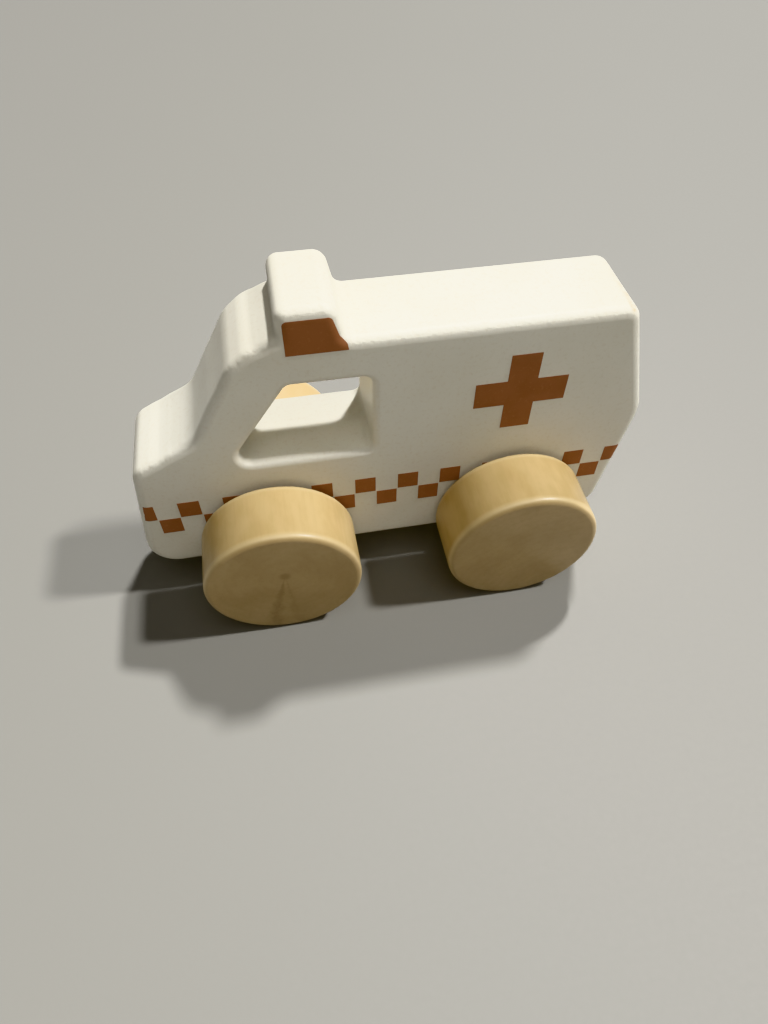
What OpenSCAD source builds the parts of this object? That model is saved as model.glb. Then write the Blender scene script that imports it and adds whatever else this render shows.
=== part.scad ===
// Toy ambulance: one painted wooden block on two dowel axles with four plain wooden wheels.
// +X is forward, +Y is the vehicle's left side, +Z is up. The origin lies on the ground,
// under the middle of the body.

/* [Body block] */
// Overall length, nose to tail
body_l = 116; // [90:1:160]
// Thickness of the plank that the block is cut from
body_w = 21; // [16:0.5:30]
// Height of the roof above the belly
body_h = 61; // [56:0.1:75]
// Round-over along the outer edges
edge_r = 2.25; // [1:0.25:4]

/* [Nose and windscreen] */
// Height of the foremost line above the belly
nose_low_h = 8; // [7.5:0.5:14]
// Height of the front edge of the hood above the belly
nose_h = 32.3; // [26:0.1:36]
// How far the front leans back up to the hood
nose_lean = 2.9; // [0:0.1:5]
// Length of the hood, nose to foot of the windscreen
hood_l = 17; // [13:0.1:20]
// Rise of the hood from its front edge to the foot of the windscreen
hood_rise = 7.4; // [3:0.1:10]
// How far the windscreen leans back
screen_run = 11.2; // [8:0.1:14]
// How far the top of the windscreen lies below the main roof
cab_drop = 1.4; // [0:0.1:4]
// How far the roof of the cab stands above the main roof at the siren
cab_over = 1.9; // [0:0.1:3]
// Corner under the nose
nose_low_r = 7; // [3:0.5:9]
// Corner between front and hood
nose_top_r = 5; // [3:0.5:8]
// Hollow corner at the foot of the windscreen
screen_foot_r = 8; // [0.5:0.5:12]
// Corner between windscreen and roof of the cab
cab_r = 12; // [3:0.5:16]

/* [Siren] */
// Distance of the siren's front from the nose
siren_from_nose = 36.8; // [34:0.1:45]
// Length of the siren along its top
siren_l = 11.3; // [8:0.1:18]
// Height of the siren above the main roof
siren_h = 7.7; // [5:0.1:12]
// How far the rear of the siren leans back down to the roof
siren_lean = 1.8; // [0:0.1:4]
// Front top corner of the siren
siren_front_r = 2.4; // [2:0.1:5]
// Rear top corner of the siren
siren_rear_r = 3; // [2:0.1:5]
// Hollow corner in front of the siren
siren_front_fillet = 0.8; // [0.2:0.1:2]
// Hollow corner behind the siren
siren_rear_fillet = 2.5; // [1:0.1:5]

/* [Tail] */
// How far the roof ends ahead of the tail
tail_top_in = 8.1; // [3:0.1:14]
// Height above the belly where the tail starts to lean forward to the roof
tail_high_h = 33.8; // [32:0.1:45]
// Height above the belly where the tail starts to lean forward to the belly
tail_low_h = 30.8; // [20:0.1:31.5]
// How far the belly ends ahead of the tail
tail_low_in = 4.2; // [1:0.1:8]
// Corner between roof and tail
tail_top_r = 3.5; // [2.5:0.5:8]
// Soft bends in the tail
tail_bend_r = 8; // [2:0.5:12]
// Corner under the tail
tail_low_r = 6; // [3:0.5:9]

/* [Window] */
// Distance of the window's rear side from the nose
window_from_nose = 54.5; // [50:0.25:62]
// Height of the sill above the belly
sill_h = 31.2; // [29:0.1:36]
// Length of the window along the sill
window_low_l = 31.3; // [24:0.1:33]
// Length of the window along its top
window_top_l = 17; // [10:0.1:20]
// Wood left between the window and the roof
roof_bar = 9.5; // [7:0.1:14]
// Pointed lower front corner of the window
window_point_r = 2.8; // [1:0.1:5]
// Other corners of the window
window_r = 2; // [1:0.1:4]
// Round-over along the window's edges
window_edge_r = 1.7; // [0.8:0.1:3]

/* [Wheels and axles] */
// Diameter of a wheel
wheel_d = 36; // [28:0.2:42]
// Thickness of a wheel
wheel_t = 15.2; // [10:0.2:18]
// Rounded rims of a wheel
rim_r = 1.4; // [0.5:0.1:3]
// Play between a wheel and the side of the block
wheel_gap = 0.95; // [0.5:0.05:2]
// Distance of the front axle from the nose
axle_from_nose = 31; // [26:0.1:36]
// Distance between the axles
wheelbase = 56.5; // [48:0.1:64]
// Height of the axles above the belly
axle_h = 7.4; // [6.5:0.1:12]
// Diameter of the dowel axles
axle_d = 8; // [5:0.5:10]
// Depth of the blind hole in the back of a wheel
bore_depth = 9; // [6:0.5:11]
// Bevel on the ends of an axle
axle_bevel = 0.6; // [0.2:0.1:1.2]
// Radial play of an axle in the block
run_gap = 0.1; // [0.02:0.01:0.1]
// Radial gap for the glue between axle and wheel
glue_gap = 0.05; // [0.02:0.01:0.1]
// Room for glue behind the end of an axle
end_gap = 0.5; // [0.1:0.1:1]

/* [Printed marks] */
// Step of the checked band, one square to the next
check_pitch = 5; // [4:0.25:7]
// Bare line left between the squares
check_gap = 0.25; // [0.1:0.05:0.6]
// Height of the checked band above the belly
check_h = 12.25; // [9:0.25:18]
// Distance of the middle of the cross from the nose
cross_from_nose = 86; // [75:0.5:95]
// Height of the middle of the cross above the belly
cross_h = 43.2; // [38:0.1:48]
// Span of the cross
cross_span = 20; // [12:0.5:24]
// Width of the arms of the cross
cross_arm = 6.5; // [4:0.5:8]
// How far the siren's print reaches down below the roof
siren_print_drop = 1.8; // [1:0.1:5]
// Thickness of the printed ink
ink_t = 0.1; // [0.05:0.05:0.2]

/* [Hidden] */
// Overrun of the cuts past the faces
cut = 1;
// Largest turn between two points of a rounded corner, in degrees
corner_step = 9;
// Facets across the round-over of an edge
edge_steps = 6;

paint = "#f2efe4";
ink = "#8a4a1c";
maple = "#d9b783";
beech = "#c49a63";

axle_z = wheel_d / 2;
belly_z = axle_z - axle_h;
roof_z = belly_z + body_h;
siren_z = roof_z + siren_h;
nose_x = body_l / 2;
tail_x = -body_l / 2;
side_y = body_w / 2;
siren_x = nose_x - siren_from_nose;
front_x = nose_x - axle_from_nose;
rear_x = front_x - wheelbase;
window_x = nose_x - window_from_nose;
sill_z = belly_z + sill_h;
lintel_z = roof_z - roof_bar;
wheel_y = side_y + wheel_gap;
axle_l = 2 * (wheel_y + bore_depth - end_gap);
check_size = check_pitch - check_gap;
check_columns = floor(body_l / check_pitch);

// A corner that the round-over runs round is at least as wide as the round-over
function outer(r) = max(r, edge_r);

// Corners of the side view, counter-clockwise, each with its radius
body_corners = [
    [nose_x, belly_z, outer(nose_low_r)],
    [nose_x, belly_z + nose_low_h, outer(nose_low_r)],
    [nose_x - nose_lean, belly_z + nose_h, outer(nose_top_r)],
    [nose_x - hood_l, belly_z + nose_h + hood_rise, screen_foot_r],
    [nose_x - hood_l - screen_run, roof_z - cab_drop, outer(cab_r)],
    [siren_x, roof_z + cab_over, siren_front_fillet],
    [siren_x, siren_z, outer(siren_front_r)],
    [siren_x - siren_l, siren_z, outer(siren_rear_r)],
    [siren_x - siren_l - siren_lean, roof_z, siren_rear_fillet],
    [tail_x + tail_top_in, roof_z, outer(tail_top_r)],
    [tail_x, belly_z + tail_high_h, outer(tail_bend_r)],
    [tail_x, belly_z + tail_low_h, outer(tail_bend_r)],
    [tail_x + tail_low_in, belly_z, outer(tail_low_r)]
];
window_corners = [
    [window_x + window_low_l, sill_z, window_point_r],
    [window_x + window_top_l, lintel_z, window_r],
    [window_x, lintel_z, window_r],
    [window_x, sill_z, window_r]
];

// Round-over of one edge, from the flat side inwards: depth into the outline, and Y
function round_over(r) = [
    for (s = [0:edge_steps]) let (a = 90 * s / edge_steps)
        [r * (1 - sin(a)), side_y - r * (1 - cos(a))]
];
function mirrored(stations) = [for (i = [len(stations) - 1:-1:0]) [stations[i].x, -stations[i].y]];
block_stations = concat(round_over(edge_r), mirrored(round_over(edge_r)));
// The window widens to both sides by its own round-over, and runs past the faces
window_edge = [[-window_edge_r, side_y + cut], for (s = round_over(window_edge_r)) [-s.x, s.y]];
window_stations = concat(window_edge, mirrored(window_edge));

// Place and direction helpers for a closed list of corners
function place(corners, i) = let (c = corners[(i + len(corners)) % len(corners)]) [c.x, c.y];
function unit(v) = v / norm(v);
function run(corners, i) = place(corners, i + 1) - place(corners, i);
function half_angle(corners, i) = acos(unit(run(corners, i)) * -unit(run(corners, i - 1))) / 2;

// Length that a corner's round takes from its two sides
function taken(corners, i) =
    let (k = (i + len(corners)) % len(corners)) corners[k].z / tan(half_angle(corners, k));

// Share of its radius that a corner keeps where two rounds would meet on one side
function kept_share(corners, i) = min(
    1,
    norm(run(corners, i)) / (taken(corners, i) + taken(corners, i + 1)),
    norm(run(corners, i - 1)) / (taken(corners, i - 1) + taken(corners, i))
);

// Turn from direction a to direction b, the short way round
function turn(a, b) = ((b - a + 540) % 360) - 180;

// Points of one rounded corner, moved into the outline by a depth
function corner_arc(corners, i, depth) =
    let (
        p = place(corners, i),
        back = -unit(run(corners, i - 1)),
        ahead = unit(run(corners, i)),
        half = half_angle(corners, i),
        r = corners[i].z * kept_share(corners, i),
        middle = p + unit(back + ahead) * r / sin(half),
        from = p + back * r / tan(half) - middle,
        to = p + ahead * r / tan(half) - middle,
        start = atan2(from.y, from.x),
        sweep = turn(start, atan2(to.y, to.x)),
        steps = max(2, ceil(abs(sweep) / corner_step))
    )
    [for (s = [0:steps]) let (a = start + sweep * s / steps)
        middle + (r - sign(sweep) * depth) * [cos(a), sin(a)]];

function rounded(corners, depth) = [for (i = [0:len(corners) - 1]) each corner_arc(corners, i, depth)];

// Solid through the outline at each station, closed by fans round the hub, from which
// the whole outline is in sight
module loft(corners, stations, hub) {
    rings = [for (s = stations) [for (p = rounded(corners, s.x)) [p.x, s.y, p.y]]];
    count = len(rings[0]);
    last = len(rings) - 1;
    hubs = [for (s = [stations[0], stations[last]]) [hub.x, s.y, hub.y]];
    left_hub = count * len(rings);
    right_hub = left_hub + 1;
    polyhedron(
        points = concat([for (ring = rings) each ring], hubs),
        faces = [
            for (i = [0:count - 1]) let (j = (i + 1) % count) each [
                [left_hub, i, j],
                [right_hub, last * count + j, last * count + i],
                for (k = [0:last - 1]) each [
                    [k * count + i, (k + 1) * count + i, k * count + j],
                    [k * count + j, (k + 1) * count + i, (k + 1) * count + j]
                ]
            ]
        ]
    );
}

// Flat part of the side, inside the round-over
module flat_side() {
    polygon(rounded(body_corners, edge_r));
}

// Stands a drawing of the side view up in the XZ plane, half its depth to each side
module stand_up(depth) {
    rotate([90, 0, 0]) linear_extrude(height = depth, center = true) children();
}

module cross_cylinder(d, length) {
    rotate([90, 0, 0]) cylinder(d = d, h = length, center = true, $fn = 64);
}

module body_block() {
    color(paint) difference() {
        loft(body_corners, block_stations, [siren_x - siren_l / 2, belly_z + body_h / 2]);
        loft(window_corners, window_stations, [window_x + window_top_l / 2, (sill_z + lintel_z) / 2]);
        for (x = [front_x, rear_x])
            translate([x, 0, axle_z]) cross_cylinder(axle_d + 2 * run_gap, body_w + 2 * cut);
    }
}

module axle(x) {
    half_l = axle_l / 2;
    end_d = axle_d - 2 * axle_bevel;
    color(beech) translate([x, 0, axle_z]) {
        cross_cylinder(axle_d, axle_l - 2 * axle_bevel);
        for (turned = [90, -90])
            rotate([turned, 0, 0]) translate([0, 0, half_l - axle_bevel])
                cylinder(d1 = axle_d, d2 = end_d, h = axle_bevel, $fn = 64);
    }
}

// Half section of a wheel, from its back face up, with both rims rounded
module wheel_section() {
    wheel_r = wheel_d / 2;
    square([wheel_r - rim_r, wheel_t]);
    translate([0, rim_r]) square([wheel_r, wheel_t - 2 * rim_r]);
    for (y = [rim_r, wheel_t - rim_r])
        translate([wheel_r - rim_r, y]) circle(r = rim_r, $fn = 64);
}

// side is 1 on the left of the vehicle and -1 on the right
module wheel(x, side) {
    color(maple) translate([x, side * wheel_y, axle_z]) rotate([-90 * side, 0, 0]) difference() {
        rotate_extrude($fn = 128) wheel_section();
        translate([0, 0, -cut])
            cylinder(d = axle_d + 2 * glue_gap, h = bore_depth + cut, $fn = 64);
    }
}

// A film of ink on the flat of one side
module print(side) {
    color(ink) translate([0, side * (side_y + ink_t / 2), 0]) stand_up(ink_t) children();
}

module cross_mark() {
    translate([nose_x - cross_from_nose, belly_z + cross_h]) {
        square([cross_span, cross_arm], center = true);
        square([cross_arm, cross_span], center = true);
    }
}

module siren_mark() {
    intersection() {
        flat_side();
        translate([siren_x - siren_l - siren_lean, roof_z - siren_print_drop])
            square([siren_l + siren_lean - edge_r, siren_h + siren_print_drop]);
    }
}

// Two rows of squares: even columns above, odd columns below
module check_mark() {
    intersection() {
        flat_side();
        for (column = [0:check_columns - 1])
            translate([nose_x - (column + 1) * check_pitch + check_gap / 2,
                       belly_z + check_h + check_gap / 2 + (1 - column % 2) * check_pitch])
                square(check_size);
    }
}

body_block();
axle(front_x);  // front_axle
axle(rear_x);  // rear_axle
wheel(front_x, 1);  // front_left_wheel
wheel(front_x, -1);  // front_right_wheel
wheel(rear_x, 1);  // rear_left_wheel
wheel(rear_x, -1);  // rear_right_wheel
print(1) cross_mark();  // left_cross_print
print(-1) cross_mark();  // right_cross_print
print(1) siren_mark();  // left_siren_print
print(-1) siren_mark();  // right_siren_print
print(1) check_mark();  // left_check_print
print(-1) check_mark();  // right_check_print
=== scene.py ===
import math

import bpy
from mathutils import Matrix, Vector


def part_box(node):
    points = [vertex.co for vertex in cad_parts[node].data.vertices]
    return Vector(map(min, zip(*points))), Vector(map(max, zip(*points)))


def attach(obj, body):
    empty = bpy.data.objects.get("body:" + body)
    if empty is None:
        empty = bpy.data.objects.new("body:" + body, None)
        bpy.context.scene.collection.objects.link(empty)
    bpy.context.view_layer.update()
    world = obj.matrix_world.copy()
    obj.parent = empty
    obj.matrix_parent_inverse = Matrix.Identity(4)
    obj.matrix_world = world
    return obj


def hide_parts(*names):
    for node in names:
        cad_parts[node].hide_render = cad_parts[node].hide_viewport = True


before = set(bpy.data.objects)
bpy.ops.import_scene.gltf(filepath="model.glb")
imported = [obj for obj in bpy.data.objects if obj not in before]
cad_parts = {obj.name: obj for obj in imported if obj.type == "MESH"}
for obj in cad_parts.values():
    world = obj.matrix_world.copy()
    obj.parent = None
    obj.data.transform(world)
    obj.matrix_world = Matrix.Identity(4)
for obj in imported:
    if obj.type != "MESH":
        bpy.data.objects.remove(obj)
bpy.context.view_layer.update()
mm = 0.001
nearZero = 0.001 * mm  # places closer than this count as the same
print("frame loaded:", len(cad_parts), "nodes")


# Small tools for modelling in edit mode

def inMetres(shape):  # lists stay behind in the shape
    return {key: value * mm for key, value in shape.items() if not isinstance(value, (list, tuple))}


def deselectAll():
    if bpy.context.mode != "OBJECT":
        bpy.ops.object.mode_set(mode="OBJECT")
    bpy.ops.object.select_all(action="DESELECT")


def nameNew(name):
    piece = bpy.context.active_object
    piece.name = name
    piece.data.name = name
    return piece


def makeActive(piece):
    deselectAll()
    piece.select_set(True)
    bpy.context.view_layer.objects.active = piece


def pick(piece, kind, test):
    bpy.ops.object.mode_set(mode="EDIT")
    bpy.ops.mesh.select_mode(type=kind)
    bpy.ops.mesh.select_all(action="DESELECT")
    bpy.ops.object.mode_set(mode="OBJECT")
    mesh = piece.data
    parts = {"VERT": mesh.vertices, "EDGE": mesh.edges, "FACE": mesh.polygons}[kind]
    found = 0
    for part in parts:
        part.select = test(part)
        found += part.select
    bpy.ops.object.mode_set(mode="EDIT")
    return found


def selectWhole():
    bpy.ops.object.mode_set(mode="EDIT")
    bpy.ops.mesh.select_all(action="SELECT")


def move(offset):
    bpy.ops.transform.translate(value=offset)


def extrude(offset):
    bpy.ops.mesh.extrude_region_move(TRANSFORM_OT_translate={"value": offset})


def cutPlane(place, normal, clear=False):
    selectWhole()
    bpy.ops.mesh.bisect(plane_co=place, plane_no=normal, clear_outer=clear, use_fill=False)


def endsOf(piece, edge):
    return [piece.data.vertices[i].co for i in edge.vertices]


def normalsByEdge(piece):
    found = {}
    for face in piece.data.polygons:
        for key in face.edge_keys:
            found.setdefault(key, []).append(face.normal.copy())
    return found


def applyModifier(piece, kind, **settings):
    makeActive(piece)
    modifier = piece.modifiers.new(kind.lower(), kind)
    for key, value in settings.items():
        setattr(modifier, key, value)
    bpy.ops.object.modifier_apply(modifier=modifier.name)


def cutWith(piece, cutter):
    applyModifier(piece, "BOOLEAN", operation="DIFFERENCE", solver="EXACT", object=cutter)
    bpy.data.objects.remove(cutter)


def copyOf(piece, name):
    makeActive(piece)
    bpy.ops.object.duplicate(linked=False)
    return nameNew(name)


def smoothShading(piece, degrees=32):
    makeActive(piece)
    bpy.ops.object.shade_smooth_by_angle(angle=math.radians(degrees))
    applyModifier(piece, "WEIGHTED_NORMAL", keep_sharp=True)


# Draws a closed outline in the XZ plane corner by corner, fills it and rounds each corner.
# The bevel's profile is the one that makes its arc a circle at that corner.
def drawFace(name, corners, y, arcStep=5):
    deselectAll()
    bpy.ops.mesh.primitive_plane_add(size=mm)
    piece = nameNew(name)
    bpy.ops.object.mode_set(mode="EDIT")
    bpy.ops.mesh.select_mode(type="VERT")
    selectWhole()
    bpy.ops.mesh.merge(type="CENTER")
    places = [Vector((x, y, z)) for x, z, radius in corners]
    move(places[0])
    for here, there in zip(places, places[1:]):
        extrude(there - here)
    selectWhole()
    bpy.ops.mesh.edge_face_add()
    for i, place in enumerate(places):
        radius = corners[i][2]
        if not radius:
            continue
        half = (places[i - 1] - place).angle(places[(i + 1) % len(places)] - place) / 2
        turn = math.degrees(math.pi - 2 * half)
        pick(piece, "VERT", lambda v: (v.co - place).length < nearZero)
        bpy.ops.mesh.bevel(
            affect="VERTICES", offset_type="ABSOLUTE", offset=radius / math.tan(half),
            segments=max(2, math.ceil(turn / arcStep)), profile=(1 - 0.5 / (1 + math.sin(half))) ** 2)
    return piece


def thicken(depth):
    selectWhole()
    extrude((0, depth, 0))
    selectWhole()
    bpy.ops.mesh.normals_make_consistent(inside=False)


# The block: one plank sawn to the side view, with all its edges rounded over

blockLow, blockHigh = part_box("body_block")
blockShape = {  # millimetres, heights from the belly, lengths from the nose
    "edgeRound": 2.25,
    "noseLowHeight": 8, "noseHeight": 32.3, "noseLean": 2.9, "noseLowRound": 7, "noseTopRound": 5,
    "hoodLength": 17, "hoodRise": 7.4, "screenFootRound": 8,
    "screenRun": 11.2, "cabDrop": 1.4, "cabOver": 1.9, "cabFacet": 2.8, "cabRound": 9,
    "sirenFromNose": 36.8, "sirenLength": 11.3, "sirenHeight": 7.7, "sirenLean": 1.8,
    "sirenFrontRound": 2.4, "sirenRearRound": 3, "sirenFrontFillet": 0.8, "sirenRearFillet": 2.5,
    "tailTopIn": 8.1, "tailHighHeight": 33.8, "tailLowHeight": 30.8, "tailLowIn": 4.2,
    "tailTopRound": 3.5, "tailBendRound": 8, "tailLowRound": 6,
    "windowFromNose": 54.5, "sillHeight": 31.2, "windowLowLength": 31.3, "windowTopLength": 17,
    "roofBar": 9.5, "windowPointRound": 2.8, "windowRound": 2, "windowEdgeRound": 1.7,
    "axleHole": 8.2,
    "facetRound": 7,
    "hoodFacets": [(0.3, 0.07), (0.46, -0.06), (0.62, 0.06), (0.8, -0.07)],  # share of the edge, lift
    "screenFacets": [(0.24, -0.04), (0.5, 0.05), (0.74, -0.04)],
    "cabFacets": [(0.5, -0.05), (0.75, 0.03)],
}
edgeSteps = 8
holeSides = 64
acrossLimit = 0.1  # the side part of a normal that still counts as across the plank
b = inMetres(blockShape)
noseX, tailX, bellyZ, sideY = blockHigh.x, blockLow.x, blockLow.z, blockHigh.y
roofZ = blockHigh.z - b["sirenHeight"]
sirenX = noseX - b["sirenFromNose"]
sirenTailX = sirenX - b["sirenLength"]
windowX, sillZ, lintelZ = noseX - b["windowFromNose"], bellyZ + b["sillHeight"], roofZ - b["roofBar"]
tailTopX = tailX + b["tailTopIn"]


def sanded(start, end, facets):
    along = Vector((end[0] - start[0], end[1] - start[1]))
    out = Vector((along.y, -along.x)).normalized()
    places = [Vector(start[:2]) + along * share + out * lift * mm for share, lift in facets]
    return [(place.x, place.y, b["facetRound"]) for place in places]


# A corner place moved along the line towards another one
def towards(corner, other, distance, radius):
    start = Vector(corner[:2])
    place = start + (Vector(other[:2]) - start).normalized() * distance
    return place.x, place.y, radius


def blockCorners():
    noseTop = (noseX - b["noseLean"], bellyZ + b["noseHeight"], b["noseTopRound"])
    screenFoot = (noseX - b["hoodLength"], noseTop[1] + b["hoodRise"], b["screenFootRound"])
    cabFront = (screenFoot[0] - b["screenRun"], roofZ - b["cabDrop"])
    cabRear = (sirenX, roofZ + b["cabOver"], b["sirenFrontFillet"])
    cabLow = towards(cabFront, screenFoot, b["cabFacet"], b["cabRound"])
    cabHigh = towards(cabFront, cabRear, b["cabFacet"], b["cabRound"])
    return [
        (noseX, bellyZ, b["noseLowRound"]),
        (noseX, bellyZ + b["noseLowHeight"], b["noseLowRound"]),
        noseTop, *sanded(noseTop, screenFoot, blockShape["hoodFacets"]),
        screenFoot, *sanded(screenFoot, cabLow, blockShape["screenFacets"]),
        cabLow, cabHigh, *sanded(cabHigh, cabRear, blockShape["cabFacets"]),
        cabRear,
        (sirenX, blockHigh.z, b["sirenFrontRound"]),
        (sirenTailX, blockHigh.z, b["sirenRearRound"]),
        (sirenTailX - b["sirenLean"], roofZ, b["sirenRearFillet"]),
        (tailTopX, roofZ, b["tailTopRound"]),
        (tailX, bellyZ + b["tailHighHeight"], b["tailBendRound"]),
        (tailX, bellyZ + b["tailLowHeight"], b["tailBendRound"]),
        (tailX + b["tailLowIn"], bellyZ, b["tailLowRound"]),
    ]


def windowCorners():
    return [
        (windowX + b["windowLowLength"], sillZ, b["windowPointRound"]),
        (windowX + b["windowTopLength"], lintelZ, b["windowRound"]),
        (windowX, lintelZ, b["windowRound"]),
        (windowX, sillZ, b["windowRound"]),
    ]


def onSide(place):
    return abs(abs(place.y) - sideY) < nearZero


def roundOver(radius):
    bpy.ops.mesh.bevel(
        affect="EDGES", offset_type="OFFSET", offset=radius, segments=edgeSteps, profile=0.5,
        clamp_overlap=False, loop_slide=False)


def makeBlock():
    piece = drawFace("painted_block", blockCorners(), -sideY)
    thicken(2 * sideY)

    def isCapEdge(edge):
        first, second = endsOf(piece, edge)
        return onSide(first) and onSide(second) and first.y * second.y > 0

    outer = pick(piece, "EDGE", isCapEdge)
    roundOver(b["edgeRound"])
    past = sideY + mm
    cutter = drawFace("window_cutter", windowCorners(), -past)
    thicken(2 * past)
    cutWith(piece, cutter)
    normals = normalsByEdge(piece)

    def isWindowEdge(edge):
        return isCapEdge(edge) and min(abs(normal.y) for normal in normals[edge.key]) < acrossLimit

    inner = pick(piece, "EDGE", isWindowEdge)
    roundOver(b["windowEdgeRound"])
    for axle in ("front_axle", "rear_axle"):
        low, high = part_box(axle)
        deselectAll()
        bpy.ops.mesh.primitive_cylinder_add(
            vertices=holeSides, radius=b["axleHole"] / 2, depth=2 * past,
            location=(low + high) / 2, rotation=(math.pi / 2, 0, 0))
        cutWith(piece, nameNew("axle_cutter"))
    smoothShading(piece)
    sawn = piece.data.attributes.new("sawn", "FLOAT", "POINT")  # 0 on the flat sides, 1 across the plank
    for vertex in piece.data.vertices:
        sawn.data[vertex.index].value = 0 if onSide(vertex.co) else 1 - vertex.normal.y ** 2
    print("block:", outer, "outer and", inner, "window edges rounded,", len(piece.data.polygons), "faces")
    return piece


block = makeBlock()
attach(block, "body")
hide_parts("body_block")


# Wheels: turned discs with rounded rims and a blind hole in the back, made once and copied

wheelShape = {"rim": 1.4, "faceBorder": 0.5, "boreRadius": 4.05, "boreDepth": 9}
wheelSides = 160
rimSteps = 8
faceOn = 0.99  # the side part of a normal on the disc's faces
w = inMetres(wheelShape)


def middleOf(node):
    low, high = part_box(node)
    return (low + high) / 2


def makeWheel(name, node):
    low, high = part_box(node)
    radius, width = (high.z - low.z) / 2, high.y - low.y
    deselectAll()
    bpy.ops.mesh.primitive_cylinder_add(
        vertices=wheelSides, radius=radius, depth=width, location=middleOf(node),
        rotation=(math.pi / 2, 0, 0))
    piece = nameNew(name)
    bpy.ops.object.transform_apply(location=True, rotation=True, scale=True)

    def isRim(edge):
        first, second = endsOf(piece, edge)
        return abs(first.y - second.y) < nearZero

    def isFace(face, way):
        return face.normal.y * way > faceOn and len(face.vertices) == wheelSides

    pick(piece, "EDGE", isRim)
    bpy.ops.mesh.bevel(
        affect="EDGES", offset_type="OFFSET", offset=w["rim"], segments=rimSteps, profile=0.5)
    pick(piece, "FACE", lambda face: isFace(face, 1))
    bpy.ops.mesh.inset(thickness=w["faceBorder"])
    pick(piece, "FACE", lambda face: isFace(face, -1))
    bpy.ops.mesh.inset(thickness=radius - w["rim"] - w["boreRadius"])
    extrude((0, w["boreDepth"], 0))
    smoothShading(piece)
    return piece


wheels = {}
firstNode = "front_left_wheel"
for axle in ("front", "rear"):
    for side in ("left", "right"):
        node = f"{axle}_{side}_wheel"
        name = f"{axle}_{side}_wooden_wheel"
        if node == firstNode:
            wheel = makeWheel(name, node)
        else:
            wheel = copyOf(wheels[firstNode], name)
            selectWhole()
            move(middleOf(node) - middleOf(firstNode))
            if side == "right":  # the blind hole faces the block
                bpy.ops.transform.rotate(value=math.pi, orient_axis="Z", center_override=middleOf(node))
            deselectAll()
        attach(wheel, f"{axle}_wheelset")
        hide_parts(node)
        wheels[node] = wheel
print("wheels:", len(wheels), "with", len(wheels[firstNode].data.polygons), "faces each")


# Axles: plain dowels with chamfered ends

axleShape = {"chamfer": 0.6}
axleSides = 64
axles = {}
for node in ("front_axle", "rear_axle"):
    low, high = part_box(node)
    if not axles:
        deselectAll()
        bpy.ops.mesh.primitive_cylinder_add(
            vertices=axleSides, radius=(high.x - low.x) / 2, depth=high.y - low.y, location=middleOf(node),
            rotation=(math.pi / 2, 0, 0))
        axle = nameNew("front_dowel")
        bpy.ops.object.transform_apply(location=True, rotation=True, scale=True)
        pick(axle, "EDGE", lambda edge: abs(endsOf(axle, edge)[0].y - endsOf(axle, edge)[1].y) < nearZero)
        bpy.ops.mesh.bevel(affect="EDGES", offset_type="OFFSET", offset=axleShape["chamfer"] * mm, segments=1)
        smoothShading(axle)
    else:
        axle = copyOf(axles["front_axle"], "rear_dowel")
        selectWhole()
        move(middleOf(node) - middleOf("front_axle"))
        deselectAll()
    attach(axle, node.replace("axle", "wheelset"))
    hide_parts(node)
    axles[node] = axle
print("axles:", len(axles))


# Prints: thin films of ink laid on the left side and copied to the right

printShape = {
    "crossFromNose": 86, "crossHeight": 43.2, "crossSpan": 20, "crossArm": 6.5,
    "checkPitch": 5, "checkGap": 0.25, "checkHeight": 12.25,
    "sirenDrop": 1.75, "sirenTopIn": 1.9, "sirenEdgeIn": 1.35, "sirenFrontRound": 1, "sirenRearRound": 1.1,
    "sirenTopLength": 9.05, "sirenKneeLength": 10.35, "sirenKneeRise": 1.4, "sirenKneeRound": 2.4,
    "sirenHeelLength": 11.75, "sirenHeelDrop": 0.55, "sirenHeelRound": 0.7, "sirenTipLength": 11.95,
    "wrap": 1.05, "grid": 0.4,
    "sunk": 0.02, "film": 0.07, "clear": 2,
}
checkColumns = 23
checkCuts = 11
p = inMetres(printShape)


def flatSquare(name, x, z, width):
    deselectAll()
    bpy.ops.mesh.primitive_plane_add(
        size=width, location=(x, sideY + p["clear"], z), rotation=(-math.pi / 2, 0, 0))
    piece = nameNew(name)
    bpy.ops.object.transform_apply(location=True, rotation=True, scale=True)
    return piece


def gridCuts(lowX, highX, lowZ, highZ):
    for i in range(1, math.ceil((highX - lowX) / p["grid"])):
        cutPlane((lowX + i * p["grid"], 0, 0), (1, 0, 0))
    for i in range(1, math.ceil((highZ - lowZ) / p["grid"])):
        cutPlane((0, 0, lowZ + i * p["grid"]), (0, 0, 1))


def layOn(piece):
    applyModifier(
        piece, "SHRINKWRAP", wrap_method="PROJECT", target=block, use_project_y=True,
        use_negative_direction=True, use_positive_direction=False, offset=-p["sunk"])
    applyModifier(piece, "SOLIDIFY", thickness=p["film"], offset=1)
    smoothShading(piece)


def finishPrint(piece, name):
    layOn(piece)
    other = copyOf(piece, "right_" + name)
    selectWhole()
    bpy.ops.transform.resize(value=(1, -1, 1), center_override=(0, 0, 0))
    bpy.ops.mesh.normals_make_consistent(inside=False)
    deselectAll()
    for side, film in (("left", piece), ("right", other)):
        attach(film, "body")
        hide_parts(f"{side}_{name}_print")
    return [piece, other]


def makeCross():
    x, z = noseX - p["crossFromNose"], bellyZ + p["crossHeight"]
    piece = flatSquare("left_cross", x, z, p["crossArm"])
    reach = (p["crossSpan"] - p["crossArm"]) / 2
    for way in ((1, 0, 0), (-1, 0, 0), (0, 0, 1), (0, 0, -1)):
        out = Vector(way)
        edgePlace = Vector((x, sideY + p["clear"], z)) + out * p["crossArm"] / 2
        pick(piece, "EDGE", lambda e: (sum(endsOf(piece, e), Vector()) / 2 - edgePlace).length < nearZero)
        extrude(out * reach)
    return finishPrint(piece, "cross")


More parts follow.
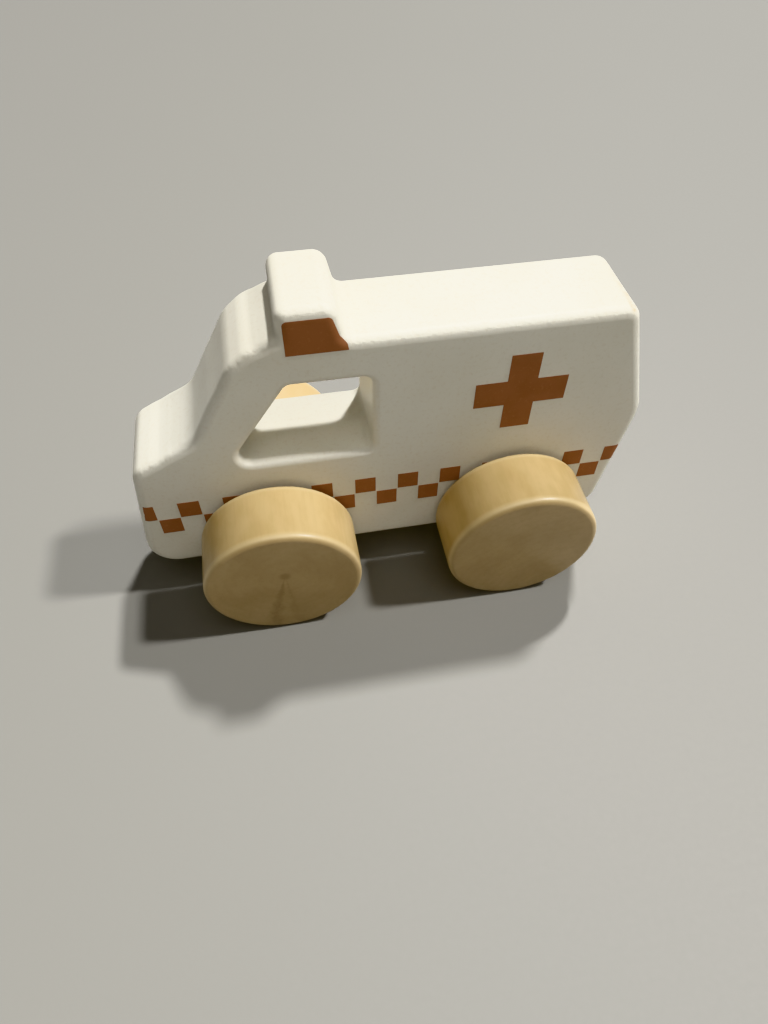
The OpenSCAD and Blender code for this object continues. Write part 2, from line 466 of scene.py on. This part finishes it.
def makeChecks():
    size = p["checkPitch"] - p["checkGap"]
    squares = []
    for column in range(checkColumns):
        x = noseX - (column + 0.5) * p["checkPitch"]
        row = 0 if column % 2 else 1
        z = bellyZ + p["checkHeight"] + (row + 0.5) * p["checkPitch"]
        if not squares:
            square = flatSquare("left_check", x, z, size)
            selectWhole()
            bpy.ops.mesh.subdivide(number_cuts=checkCuts)
            first = Vector((x, 0, z))
        else:
            square = copyOf(squares[0], "check_square")
            selectWhole()
            move(Vector((x, 0, z)) - first)
        squares.append(square)
    makeActive(squares[0])
    for square in squares:
        square.select_set(True)
    bpy.ops.object.join()
    piece = squares[0]
    noseEdge = Vector((noseX, 0, bellyZ + b["noseLowHeight"]))
    noseOut = Vector((b["noseHeight"] - b["noseLowHeight"], 0, b["noseLean"])).normalized()
    tailEdge = Vector((tailX, 0, bellyZ + b["tailLowHeight"]))
    tailOut = Vector((-b["tailLowHeight"], 0, -b["tailLowIn"])).normalized()
    for edge, out in ((noseEdge, noseOut), (tailEdge, tailOut)):
        cutPlane(edge - out * p["wrap"], out, clear=True)
    return finishPrint(piece, "check")


def makeSirenPrint():
    low, high, frontX = roofZ - p["sirenDrop"], blockHigh.z - p["sirenTopIn"], sirenX - p["sirenEdgeIn"]
    tipX = frontX - p["sirenTipLength"]
    corners = [
        (frontX, low, 0),
        (frontX, high, p["sirenFrontRound"]),
        (frontX - p["sirenTopLength"], high, p["sirenRearRound"]),
        (frontX - p["sirenKneeLength"], roofZ + p["sirenKneeRise"], p["sirenKneeRound"]),
        (frontX - p["sirenHeelLength"], roofZ - p["sirenHeelDrop"], p["sirenHeelRound"]),
        (tipX, low, 0),
    ]
    piece = drawFace("left_siren", corners, sideY + p["clear"])
    gridCuts(tipX, sirenX, low, high)
    selectWhole()
    bpy.ops.mesh.normals_make_consistent(inside=False)
    return finishPrint(piece, "siren")


crosses = makeCross()
checks = makeChecks()
sirens = makeSirenPrint()
prints = crosses + checks + sirens
print("prints:", len(prints), "films,", sum(len(film.data.polygons) for film in prints), "faces")


# Finishes: node materials written as plain expressions

class Value:
    def __init__(self, finish, socket):
        self.finish = finish
        self.socket = socket

    def __add__(self, other):
        return self.finish.maths("ADD", self, other)

    def __sub__(self, other):
        return self.finish.maths("SUBTRACT", self, other)

    def __rsub__(self, other):
        return self.finish.maths("SUBTRACT", other, self)

    def __mul__(self, other):
        return self.finish.maths("MULTIPLY", self, other)

    def __truediv__(self, other):
        return self.finish.maths("DIVIDE", self, other)

    def __pow__(self, other):
        return self.finish.maths("POWER", self, other)

    def __abs__(self):
        return self.finish.maths("ABSOLUTE", self)

    __radd__ = __add__
    __rmul__ = __mul__


class Finish:
    def __init__(self, owner):  # a material or the world
        self.owner = owner
        owner.use_nodes = True
        self.tree = owner.node_tree
        self.tree.nodes.clear()

    def add(self, kind, settings, sockets, output=0):
        node = self.tree.nodes.new("ShaderNode" + kind)
        for key, value in settings.items():
            setattr(node, key, value)
        for key, value in sockets.items():
            if isinstance(value, Value):
                self.tree.links.new(value.socket, node.inputs[key])
            else:
                node.inputs[key].default_value = value
        return node if output is None else Value(self, node.outputs[output])

    def maths(self, operation, *terms):
        return self.add("Math", {"operation": operation}, dict(enumerate(terms)))

    def spot(self, centre=(0, 0, 0), stretch=(1, 1, 1)):  # millimetres from the centre
        coords = self.add("TexCoord", {}, {}, "Object")
        return self.add("Mapping", {"vector_type": "TEXTURE"}, {
            "Vector": coords, "Location": centre, "Scale": [mm * share for share in stretch]})

    def split(self, vector):
        part = self.add("SeparateXYZ", {}, {0: vector})
        return [Value(self, socket) for socket in part.socket.node.outputs]

    def join(self, x, y, z):
        return self.add("CombineXYZ", {}, {0: x, 1: y, 2: z})

    def noise(self, vector, scale, detail=2, roughness=0.5):
        return self.add("TexNoise", {}, {
            "Vector": vector, "Scale": scale, "Detail": detail, "Roughness": roughness})

    def ease(self, value, low, high):  # 0 below low, 1 above high
        return self.add("MapRange", {"interpolation_type": "SMOOTHSTEP"}, {
            "Value": value, "From Min": low, "From Max": high})

    def between(self, ends, share):
        low, high = ends
        return low + (high - low) * share

    def blend(self, share, first, second):
        ends = {0: share}
        for key, colour in ((6, first), (7, second)):
            ends[key] = colour if isinstance(colour, Value) else (*colour, 1)
        return self.add("Mix", {"data_type": "RGBA"}, ends, 2)

    def shade(self, sockets, height, depth):
        normal = self.add("Bump", {}, {"Height": height, "Distance": depth, "Strength": 1})
        shader = self.add("BsdfPrincipled", {}, {**sockets, "Normal": normal})
        self.add("OutputMaterial", {}, {"Surface": shader}, None)
        return self.owner


def newFinish(name):
    return Finish(bpy.data.materials.new(name))


# In the looks, a noise is its count per millimetre, detail and roughness, and a range runs from none to full

paintLook = {
    # Along the tail's top corner a warm line is painted in: part rubbed paint, part painted highlight
    "white": (0.83, 0.81, 0.735), "warmWhite": (0.79, 0.76, 0.67), "rubbedAndSheen": (0.66, 0.52, 0.31),
    "bareWood": (0.5, 0.36, 0.17),
    "clouds": (0.035, 3), "cloudRange": (0.35, 0.7),
    "stipple": (1.15, 2, 0.55), "stippleShare": 0.8, "grain": (3.2, 1), "grainShare": 0.2,
    "stippleDepth": 0.011, "flatGain": 0.35, "edgeGain": 14, "hollowRange": (0.5, 0.3), "hollowShare": 0.1,
    "sawPerMm": 0.7, "sawAlongPerMm": 0.05, "sawDetail": 2, "sawShare": 1,
    "wearAndSheen": (0.55, 4, 0.7), "wornAndSheenCorner": (2.2, 1),  # millimetres from the tail's top corner
    "rubbedSheenRange": (0.38, 0.6), "rubbedSheenAcross": (-6, 5), "rubbedSheenShare": 0.4,
    "chipRange": (0.62, 0.72), "chipAcross": (4, 9), "chipAcrossGain": 0.12, "chipShare": 0.7,
    "chipDepth": 0.5, "chipRough": 0.2,
    "rough": (0.38, 0.54), "roughPatches": (0.12, 3),
}


def stippleOf(f, spot):
    coarse = f.noise(spot, *paintLook["stipple"]) * paintLook["stippleShare"]
    return coarse + f.noise(spot, *paintLook["grain"]) * paintLook["grainShare"]


def paintFinish():
    look = paintLook
    f = newFinish("satin_white_paint")
    spot = f.spot()
    x, y, z = f.split(spot)
    clouds = f.ease(f.noise(spot, *look["clouds"]), *look["cloudRange"])
    colour = f.blend(clouds, look["white"], look["warmWhite"])
    stipple = stippleOf(f, spot)
    hollows = f.ease(stipple, *look["hollowRange"])
    colour = f.blend(hollows * look["hollowShare"], colour, look["bareWood"])
    sawn = f.add("Attribute", {"attribute_name": "sawn"}, {}, "Fac")
    sawSpot = f.join(x * look["sawPerMm"], y * look["sawAlongPerMm"], z * look["sawPerMm"])
    sawMarks = f.noise(sawSpot, 1, look["sawDetail"]) * sawn
    fromCorner = ((x - tailTopX / mm) ** 2 + (z - roofZ / mm) ** 2) ** 0.5
    corner = f.ease(fromCorner, *look["wornAndSheenCorner"])
    wearAndSheen = f.noise(spot, *look["wearAndSheen"])
    # Painted highlight and wear: a warm lit line along the tail's top corner on the left side, partly rubbed
    # paint; the chips are real wear
    rubbedAndSheen = f.ease(wearAndSheen, *look["rubbedSheenRange"]) * corner * f.ease(y, *look["rubbedSheenAcross"])
    chipWear = wearAndSheen + f.ease(y, *look["chipAcross"]) * look["chipAcrossGain"]
    chipped = f.ease(chipWear, *look["chipRange"]) * corner
    colour = f.blend(rubbedAndSheen * look["rubbedSheenShare"], colour, look["rubbedAndSheen"])
    colour = f.blend(chipped * look["chipShare"], colour, look["bareWood"])
    rough = f.between(look["rough"], f.noise(spot, *look["roughPatches"])) + chipped * look["chipRough"]
    edge = sawn * (1 - sawn) * 4  # 1 halfway round an edge
    gain = look["flatGain"] + edge * look["edgeGain"]
    height = stipple * gain + sawMarks * look["sawShare"] - chipped * look["chipDepth"]
    return f.shade({"Base Color": colour, "Roughness": rough}, height, look["stippleDepth"] * mm)


inkLook = {
    "ink": (0.38, 0.175, 0.098), "thickInk": (0.31, 0.138, 0.07), "thinInk": (0.47, 0.24, 0.137),
    "thick": (0.22, 3), "thickRange": (0.35, 0.75), "thickShare": 0.6,
    "thinRange": (0.56, 0.68), "thinShare": 0.35,
    "rough": (0.52, 0.68), "roughPatches": (0.5, 2), "gloss": 0.15,
}


def inkFinish():
    look = inkLook
    f = newFinish("rust_brown_ink")
    spot = f.spot()
    stipple = stippleOf(f, spot)
    thick = f.ease(f.noise(spot, *look["thick"]), *look["thickRange"])
    colour = f.blend(thick * look["thickShare"], look["ink"], look["thickInk"])
    thin = f.ease(stipple, *look["thinRange"])
    colour = f.blend(thin * look["thinShare"], colour, look["thinInk"])
    rough = f.between(look["rough"], f.noise(spot, *look["roughPatches"]))
    return f.shade(
        {"Base Color": colour, "Roughness": rough, "Specular IOR Level": look["gloss"]}, stipple,
        paintLook["stippleDepth"] * paintLook["flatGain"] * mm)


# A wood noise is its count per millimetre across and along the axle, detail and roughness
woodLook = {
    "pale": (0.68, 0.51, 0.26), "blotch": (0.58, 0.42, 0.195), "late": (0.52, 0.37, 0.165),
    # The rim colour is a painted highlight: a paler band that stands in for the lacquer's sheen round the
    # rounded rim
    "rim": (0.78, 0.64, 0.39), "pith": (0.25, 0.165, 0.07),
    "endGrain": (0.505, 0.368, 0.192), "endDark": (0.385, 0.27, 0.127),
    "drift": (0.1, 0.012, 2), "driftReach": 4, "ringWidth": 2.4, "ringPower": 3,
    "fibre": (1.3, 0.07, 3, 0.6), "patches": (0.27, 0.13, 3), "cloudPerMm": 0.11, "cloudDetail": 2,
    "blotchRange": (0.34, 0.7), "blotchShare": 0.6, "lateRange": (0.45, 0.75), "lateShare": 0.16,
    "treadRings": 0.07, "faceRings": 0.1,
    "cloudRange": (0.32, 0.72), "cloudShare": 0.45, "endFibreRange": (0.4, 0.72), "endFibreShare": 0.2,
    "streakWander": 0.35, "streakStart": (-0.5, 4), "streakEven": 0.55, "streakFibre": 0.9, "fibreLow": 0.3,
    "heartRange": (1.7, 0.5), "heartWander": 1.5, "nearPith": 0.01,
    "faceFrom": 0.8, "faceFull": 0.06, "rimSheenFrom": 2.2, "rimSheenFull": 1, "rimSheenShare": 0.5,  # from the disc's faces
    "rough": (0.36, 0.52), "coat": 0.4, "coatRoughness": 0.27,
    "fibreHeight": 0.8, "ringHeight": 0.1, "grainDepth": 0.022,
}
middle = 0.5  # a noise's mean
# The pith's place from the hub in x and z, how dark its dot is, the noise's shift, how blotched the tread is,
# and streaks from the pith: direction, width and darkness
wheelGrain = {
    "front_left_wheel": {
        "pith": (-0.5, 3.9), "heart": 0.45, "seed": 3, "shade": 0,
        "streaks": [((0.24, -0.97), 0.17, 0.55), ((-0.09, -0.996), 0.1, 0.25)]},
    "rear_left_wheel": {"pith": (-13, -24), "heart": 0, "seed": 11, "shade": 0.3, "streaks": []},
    "front_right_wheel": {
        "pith": (4.6, 1.8), "heart": 0.4, "seed": 23, "shade": 0.1, "streaks": [((-0.91, 0.41), 0.14, 0.4)]},
    "rear_right_wheel": {"pith": (22, 9), "heart": 0, "seed": 37, "shade": 0.2, "streaks": []},
}


def woodNoise(f, place, seed, across, along, *detail):
    x, y, z = place
    return f.noise(f.join(x * across + seed, y * along, z * across), 1, *detail)


def wheelFinish(node):
    look, grain = woodLook, wheelGrain[node]
    low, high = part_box(node)
    halfWidth = (high.y - low.y) / 2 / mm
    f = newFinish(node + "_wood")
    place = f.split(f.spot(middleOf(node)))
    x, y, z = place
    pithX, pithZ = x - grain["pith"][0], z - grain["pith"][1]
    seed = grain["seed"]
    drift = woodNoise(f, place, seed, *look["drift"])
    reach = (pithX ** 2 + pithZ ** 2) ** 0.5
    turns = (reach + drift * look["driftReach"]) * (2 * math.pi / look["ringWidth"])
    rings = f.maths("SINE", turns) * 0.5 + 0.5
    lateRings = rings ** look["ringPower"]
    fibre = woodNoise(f, place, seed, *look["fibre"])
    patches = woodNoise(f, place, seed, *look["patches"])
    blotches = f.ease(patches, *look["blotchRange"]) * look["blotchShare"] + grain["shade"]
    tread = f.blend(blotches, look["pale"], look["blotch"])
    tread = f.blend(f.ease(fibre, *look["lateRange"]) * look["lateShare"], tread, look["late"])
    tread = f.blend(lateRings * look["treadRings"], tread, look["late"])
    cloudSpot = f.join(x * look["cloudPerMm"] + seed, seed, z * look["cloudPerMm"])
    clouds = f.ease(f.noise(cloudSpot, 1, look["cloudDetail"]), *look["cloudRange"])
    face = f.blend(clouds * look["cloudShare"], look["endGrain"], look["endDark"])
    face = f.blend(f.ease(fibre, *look["endFibreRange"]) * look["endFibreShare"], face, look["endDark"])
    face = f.blend(lateRings * look["faceRings"], face, look["endDark"])
    for (wayX, wayZ), width, dark in grain["streaks"]:
        along = pithX * wayX + pithZ * wayZ
        aside = abs(pithX * wayZ - pithZ * wayX) / (reach + look["nearPith"])
        aside = aside + (patches - middle) * look["streakWander"]
        broken = look["streakEven"] + look["streakFibre"] * (fibre - look["fibreLow"])
        streak = f.ease(aside, width, 0) * f.ease(along, *look["streakStart"]) * broken
        face = f.blend(streak * dark, face, look["pith"])
    dot = f.ease(reach + (fibre - middle) * look["heartWander"], *look["heartRange"])
    face = f.blend(dot * grain["heart"], face, look["pith"])
    onFace = f.ease(abs(y), halfWidth - look["faceFrom"], halfWidth - look["faceFull"])
    # Painted highlight: the rounded rim is paled towards the rim colour
    onRimSheen = f.ease(abs(y), halfWidth - look["rimSheenFrom"], halfWidth - look["rimSheenFull"])
    colour = f.blend(onRimSheen * look["rimSheenShare"], tread, look["rim"])
    colour = f.blend(onFace, colour, face)
    height = fibre * look["fibreHeight"] + rings * look["ringHeight"]
    return f.shade(
        {"Base Color": colour, "Roughness": f.between(look["rough"], fibre), "Coat Weight": look["coat"],
         "Coat Roughness": look["coatRoughness"]}, height, look["grainDepth"] * mm)


axleLook = {"fibre": (2, 0.08, 3, 0.6), "fibreRange": (0.38, 0.7), "rough": (0.45, 0.65), "grainDepth": 0.04}


def axleFinish(node):
    look = axleLook
    f = newFinish(node + "_wood")
    fibre = woodNoise(f, f.split(f.spot(middleOf(node))), 0, *look["fibre"])
    colour = f.blend(f.ease(fibre, *look["fibreRange"]), woodLook["pale"], woodLook["blotch"])
    rough = f.between(look["rough"], fibre)
    return f.shade({"Base Color": colour, "Roughness": rough}, fibre, look["grainDepth"] * mm)


def dress(piece, material):
    piece.data.materials.clear()
    piece.data.materials.append(material)


dress(block, paintFinish())
ink = inkFinish()
for film in prints:
    dress(film, ink)
for node, wheel in wheels.items():
    dress(wheel, wheelFinish(node))
for node, axle in axles.items():
    dress(axle, axleFinish(node))
print("finishes:", len(bpy.data.materials))


# Camera, floor and soft light

cameraLook = {
    "place": (20.68, 116.25, 155.09), "near": 10,  # millimetres
    "right": (-0.98407, 0.17773, 0.00341), "down": (0.13718, 0.77149, -0.62128),
    "ahead": (-0.11305, -0.61091, -0.78358),
    "lens": 24.961, "sensor": 36,
}
cameraData = bpy.data.cameras.new("camera")
cameraData.lens = cameraLook["lens"]
cameraData.sensor_width = cameraLook["sensor"]
cameraData.clip_start = cameraLook["near"] * mm
camera = bpy.data.objects.new("camera", cameraData)
bpy.context.scene.collection.objects.link(camera)
right, down, ahead = (Vector(cameraLook[way]) for way in ("right", "down", "ahead"))
turned = Matrix((right, -down, -ahead)).transposed().to_4x4()
camera.matrix_world = Matrix.Translation([value * mm for value in cameraLook["place"]]) @ turned
bpy.context.scene.camera = camera

# A light's place is in metres, and its spread is a sun's angle in degrees or a disc's width in metres
studio = {
    "floorSize": 40, "floor": (0.235, 0.231, 0.22), "floorDark": (0.222, 0.218, 0.208),
    "floorGrain": (0.8, 3), "floorPatches": (0.01, 2), "floorPatchShare": 0.3,
    "floorRough": (0.6, 0.7), "floorDepth": 0.01,
    "air": (0.06, 0.0568, 0.05), "wall": (0.6, 0.586, 0.556), "aim": (0, 0, 0.03),
    "key": {
        "kind": "SUN", "place": (-0.25, -0.385, 0.8), "strength": 3.6, "spread": 3.6,
        "colour": (1, 0.99, 0.945)},
    "overhead": {
        "kind": "SUN", "place": (-0.54, 0.035, 0.72), "strength": 2.95, "spread": 5,
        "colour": (1, 0.985, 0.935)},
    "fill": {
        "kind": "AREA", "place": (0, 0.4, 0.9), "strength": 2.6, "spread": 0.8,
        "colour": (1, 0.975, 0.89)},
}


def floorFinish():
    f = newFinish("pale_floor")
    spot = f.spot()
    grain = f.noise(spot, *studio["floorGrain"])
    patches = f.noise(spot, *studio["floorPatches"]) * studio["floorPatchShare"]
    colour = f.blend(patches, studio["floor"], studio["floorDark"])
    rough = f.between(studio["floorRough"], grain)
    return f.shade({"Base Color": colour, "Roughness": rough}, grain, studio["floorDepth"] * mm)


deselectAll()
bpy.ops.mesh.primitive_plane_add(size=studio["floorSize"])
floor = nameNew("floor")
dress(floor, floorFinish())

room = Finish(bpy.data.worlds.new("studio"))
inView = room.add("LightPath", {}, {}, "Is Camera Ray")  # the camera sees the wall, the toy is lit by the air
backdrop = room.add("Background", {}, {"Color": room.blend(inView, studio["air"], studio["wall"])})
room.add("OutputWorld", {}, {"Surface": backdrop}, None)
bpy.context.scene.world = room.owner


def addLight(name):
    look = studio[name]
    data = bpy.data.lights.new(name, look["kind"])
    if look["kind"] == "SUN":
        data.angle = math.radians(look["spread"])
    else:
        data.shape = "DISK"
        data.size = look["spread"]
    data.energy = look["strength"]
    data.color = look["colour"]
    light = bpy.data.objects.new(name, data)
    bpy.context.scene.collection.objects.link(light)
    light.location = look["place"]
    aim = Vector(studio["aim"]) - Vector(look["place"])
    light.rotation_euler = aim.to_track_quat("-Z", "Y").to_euler()


for name in ("key", "overhead", "fill"):
    addLight(name)
bpy.context.scene.view_settings.view_transform = "Khronos PBR Neutral"
print("studio set")
